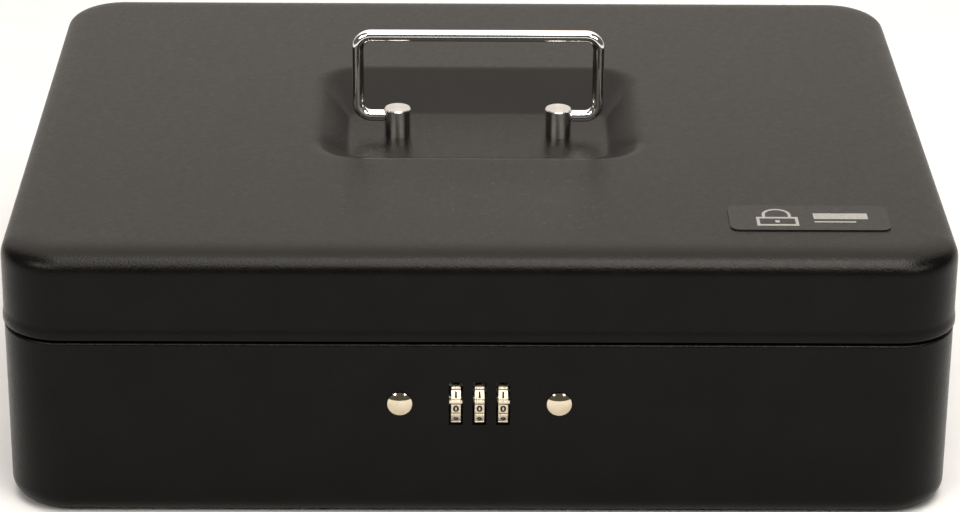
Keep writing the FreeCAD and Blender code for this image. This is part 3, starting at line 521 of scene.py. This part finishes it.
def ridge_tab(x, side, reach, axle_y):
    """Rings of the tab on the end of the ridge above the zero."""
    turn = math.radians(DIGIT_STEP / 2)
    rings = []
    for out, shrink in ((0.0, 0.0), (reach - TAB_EASE, 0.0), (reach, TAB_EASE)):
        ring = []
        for u, radius in ((-1, DIAL_RADIUS - TAB_DEPTH), (1, DIAL_RADIUS - TAB_DEPTH),
                          (1, DIAL_RADIUS - shrink), (-1, DIAL_RADIUS - shrink)):
            across = u * (RIDGE_WIDTH / 2 - shrink)
            x_out, y, z = on_drum(x + side * out, radius, turn, axle_y)
            ring.append((x_out, y + across * math.sin(turn), z + across * math.cos(turn)))
        rings.append(ring)
    return rings


def dial_digit(name, body, digit, centre_x, axle_y):
    """One painted digit, cut into bands and wrapped round the drum."""
    curve = bpy.data.curves.new("glyph", "FONT")
    curve.body = str(digit)
    curve.resolution_u = DIGIT_CURVES
    curve.offset = DIGIT_WEIGHT
    maker = bpy.data.objects.new("glyph", curve)
    bpy.context.scene.collection.objects.link(maker)
    graph = bpy.context.evaluated_depsgraph_get()
    flat = bpy.data.meshes.new_from_object(maker.evaluated_get(graph))
    bpy.data.objects.remove(maker)
    bpy.data.curves.remove(curve)
    xs = [v.co.x for v in flat.vertices]
    ys = [v.co.y for v in flat.vertices]
    width = max(xs) - min(xs)
    height = max(ys) - min(ys)
    work = bmesh.new()
    work.from_mesh(flat)
    for cut in range(1, DIGIT_CUTS):
        place = (0.0, min(ys) + height * cut / DIGIT_CUTS, 0.0)
        everything = work.verts[:] + work.edges[:] + work.faces[:]
        bmesh.ops.bisect_plane(work, geom=everything, plane_co=place, plane_no=(0.0, 1.0, 0.0))
    work.to_mesh(flat)
    work.free()
    across = DIGIT_HEIGHT * DIGIT_STRETCH * width / height
    points = []
    for v in flat.vertices:
        x = centre_x + ((v.co.x - min(xs)) / width - 0.5) * across
        up = ((v.co.y - min(ys)) / height - 0.5) * DIGIT_HEIGHT
        angle = math.radians(digit * DIGIT_STEP) + up / DIAL_FACE_RADIUS
        points.append(on_drum(x, DIAL_FACE_RADIUS + DIGIT_LIFT, angle, axle_y))
    faces = [tuple(p.vertices) for p in flat.polygons]
    bpy.data.meshes.remove(flat)
    piece("dial_digit_%s_%d" % (name, digit), points, faces, DIGIT, body)


for dial in ("left", "middle", "right"):
    dial_drum(dial, "dial_" + dial)


# ---------------------------------------------------------------- label print


def printed(name, outlines):
    """Flat shapes printed on the label, each an outline in (x, y)."""
    points, faces = [], []
    for outline in outlines:
        first = len(points)
        points += [(x, y, plate_high[2] + PRINT_LIFT) for x, y in outline]
        faces.append(tuple(range(first, len(points))))
    piece(name, points, faces, PRINT, "lid")


def bar(low_x, high_x, low_y, high_y):
    return [(low_x, low_y), (high_x, low_y), (high_x, high_y), (low_x, high_y)]


def half_band(x, y, inner, outer):
    """Quads of the upper half of a flat ring."""
    quads = []
    for step in range(ARC_STEPS):
        a, b = [math.pi * k / ARC_STEPS for k in (step, step + 1)]
        quads.append([(x + r * math.cos(t), y + r * math.sin(t))
                      for r, t in ((inner, a), (outer, a), (outer, b), (inner, b))])
    return quads


def padlock(x, y):
    """A plain padlock sign in outline: shackle, body and a keyhole slot."""
    inner, outer = SHACKLE
    upper, lower = [(y + start, y + end) for start, end in LOCK_RAILS]
    foot = (upper[1], y + SHACKLE_RISE)
    shapes = half_band(x, y + SHACKLE_RISE, inner, outer)
    shapes += [bar(x - outer, x - inner, *foot), bar(x + inner, x + outer, *foot)]
    shapes += [bar(x - LOCK_HALF, x + LOCK_HALF, *rail) for rail in (upper, lower)]
    for left in (x - LOCK_HALF, x + LOCK_HALF - LOCK_STILE):
        shapes.append(bar(left, left + LOCK_STILE, lower[1], upper[0]))
    shapes.append(bar(x - KEYHOLE[0], x + KEYHOLE[0], y + KEYHOLE[1], y + KEYHOLE[2]))
    return shapes


plate_length = plate_high[0] - plate_low[0]
sign_x = plate_low[0] + SIGN_PLACE * plate_length
sign_y = (plate_low[1] + plate_high[1]) / 2 + SIGN_RAISE
printed("label_sign", padlock(sign_x, sign_y))
line_start = plate_low[0] + LINES_START * plate_length
line_end = plate_low[0] + LINES_END * plate_length
tall_line = bar(line_start, line_end, sign_y + TALL_LINE[0], sign_y + TALL_LINE[1])
short_line = bar(line_start, line_end - LINE_SHORTER, sign_y + SHORT_LINE[0], sign_y + SHORT_LINE[1])
printed("label_lines", [tall_line, short_line])


# ---------------------------------------------------------------- studio


def aim(thing, target):
    direction = Vector(target) - thing.location
    thing.rotation_euler = direction.to_track_quat("-Z", "Y").to_euler()


def area_light(name, place, target, size, radiance):
    """A soft box of a given brightness, whatever its size."""
    light = bpy.data.lights.new(name, "AREA")
    light.shape = "RECTANGLE"
    light.size, light.size_y = size
    light.energy = radiance * math.pi * size[0] * size[1]
    light.color = LIGHT_COLOUR
    thing = bpy.data.objects.new(name, light)
    bpy.context.scene.collection.objects.link(thing)
    thing.location = place
    aim(thing, target)


# Name, place, target, size and brightness of each soft box, in metres
for soft_box in (("strip_left", (-0.175, -0.60, 1.397), (-0.175, -0.12, 0.085), (0.55, 1.25), 8.1),
                 ("strip_right", (0.35, -0.60, 1.397), (0.35, -0.12, 0.085), (0.5, 1.25), 14.5),
                 ("front_left", (-0.93, -1.08, 0.93), (0.0, 0.0, 0.05), (1.0, 0.5), 9.0),
                 ("front_right", (0.93, -1.08, 0.93), (0.0, 0.0, 0.05), (1.0, 0.5), 7.0)):
    area_light(*soft_box)

# The room: a white sweep behind, brighter towards the ceiling, and dark to the sides and in front
world = bpy.data.worlds.new("studio")
bpy.context.scene.world = world
world.use_nodes = True
wires = world.node_tree


def wire(kind, *sources):
    """A new world node, with sources linked to its first inputs."""
    node = wires.nodes.new(kind)
    for source, target in zip(sources, node.inputs):
        wires.links.new(source, target)
    return node


def vector_maths(operation, source, second=(0.0, 0.0, 0.0)):
    node = wire("ShaderNodeVectorMath", source)
    node.operation = operation
    node.inputs[1].default_value = second
    return node


direction = wires.nodes.new("ShaderNodeTexCoord").outputs["Generated"]
height = wire("ShaderNodeSeparateXYZ", direction).outputs["Z"]
sweep = wire("ShaderNodeValToRGB", height)
stops = sweep.color_ramp.elements
while len(stops) < len(SWEEP):
    stops.new(0.5)
for stop, (place, shine) in zip(stops, SWEEP):
    stop.position = place
    stop.color = (*[c * shine for c in SWEEP_COLOUR], 1.0)

# How far a direction points to the rear and up, less how far it points to either side
rearward = vector_maths("DOT_PRODUCT", direction, (0.0, 1.0, REAR_BY_HEIGHT))
sideways = vector_maths("DOT_PRODUCT", vector_maths("ABSOLUTE", direction).outputs["Vector"],
                        (-REAR_BY_SIDE, 0.0, 0.0))
lit = wire("ShaderNodeMath", rearward.outputs["Value"], sideways.outputs["Value"])
fade = wire("ShaderNodeMapRange", lit.outputs["Value"])
fade.interpolation_type = "SMOOTHSTEP"
fade.inputs["From Max"].default_value = FADE_END
mixed = wires.nodes.new("ShaderNodeMix")
mixed.data_type = "RGBA"
wires.links.new(fade.outputs["Result"], mixed.inputs["Factor"])
dark, bright = [socket for socket in mixed.inputs if socket.type == "RGBA"]
dark.default_value = DARK_ROOM
wires.links.new(sweep.outputs["Color"], bright)
room = [socket for socket in mixed.outputs if socket.type == "RGBA"][0]
wires.links.new(room, wires.nodes["Background"].inputs["Color"])

floor_mesh = bpy.data.meshes.new("floor")
corners = [(u * FLOOR_REACH, v * FLOOR_REACH, 0.0) for u, v in ((-1, -1), (1, -1), (1, 1), (-1, 1))]
floor_mesh.from_pydata(corners, [], [(0, 1, 2, 3)])
floor = bpy.data.objects.new("floor", floor_mesh)
bpy.context.scene.collection.objects.link(floor)
paper = Nodes("paper")
paper.tint(paper.noise(30.0, 3.0), (0.41, 0.42, 0.43), (0.43, 0.44, 0.45))
paper.set(Roughness=0.9)
floor_mesh.materials.append(paper.material)
floor.location.z = -FLOOR_GAP

camera_data = bpy.data.cameras.new("camera")
camera_data.lens = CAMERA_LENS
camera_data.sensor_width = CAMERA_SENSOR
camera_data.clip_start = CAMERA_CLIP
camera = bpy.data.objects.new("camera", camera_data)
bpy.context.scene.collection.objects.link(camera)
right, up = Vector(CAMERA_RIGHT).normalized(), Vector(CAMERA_UP).normalized()
back = right.cross(up)
turned = Matrix((right, up, back)).transposed().to_4x4()
camera.matrix_world = Matrix.Translation(Vector(CAMERA_PLACE)) @ turned
bpy.context.scene.camera = camera

bpy.context.scene.view_settings.view_transform = "Standard"
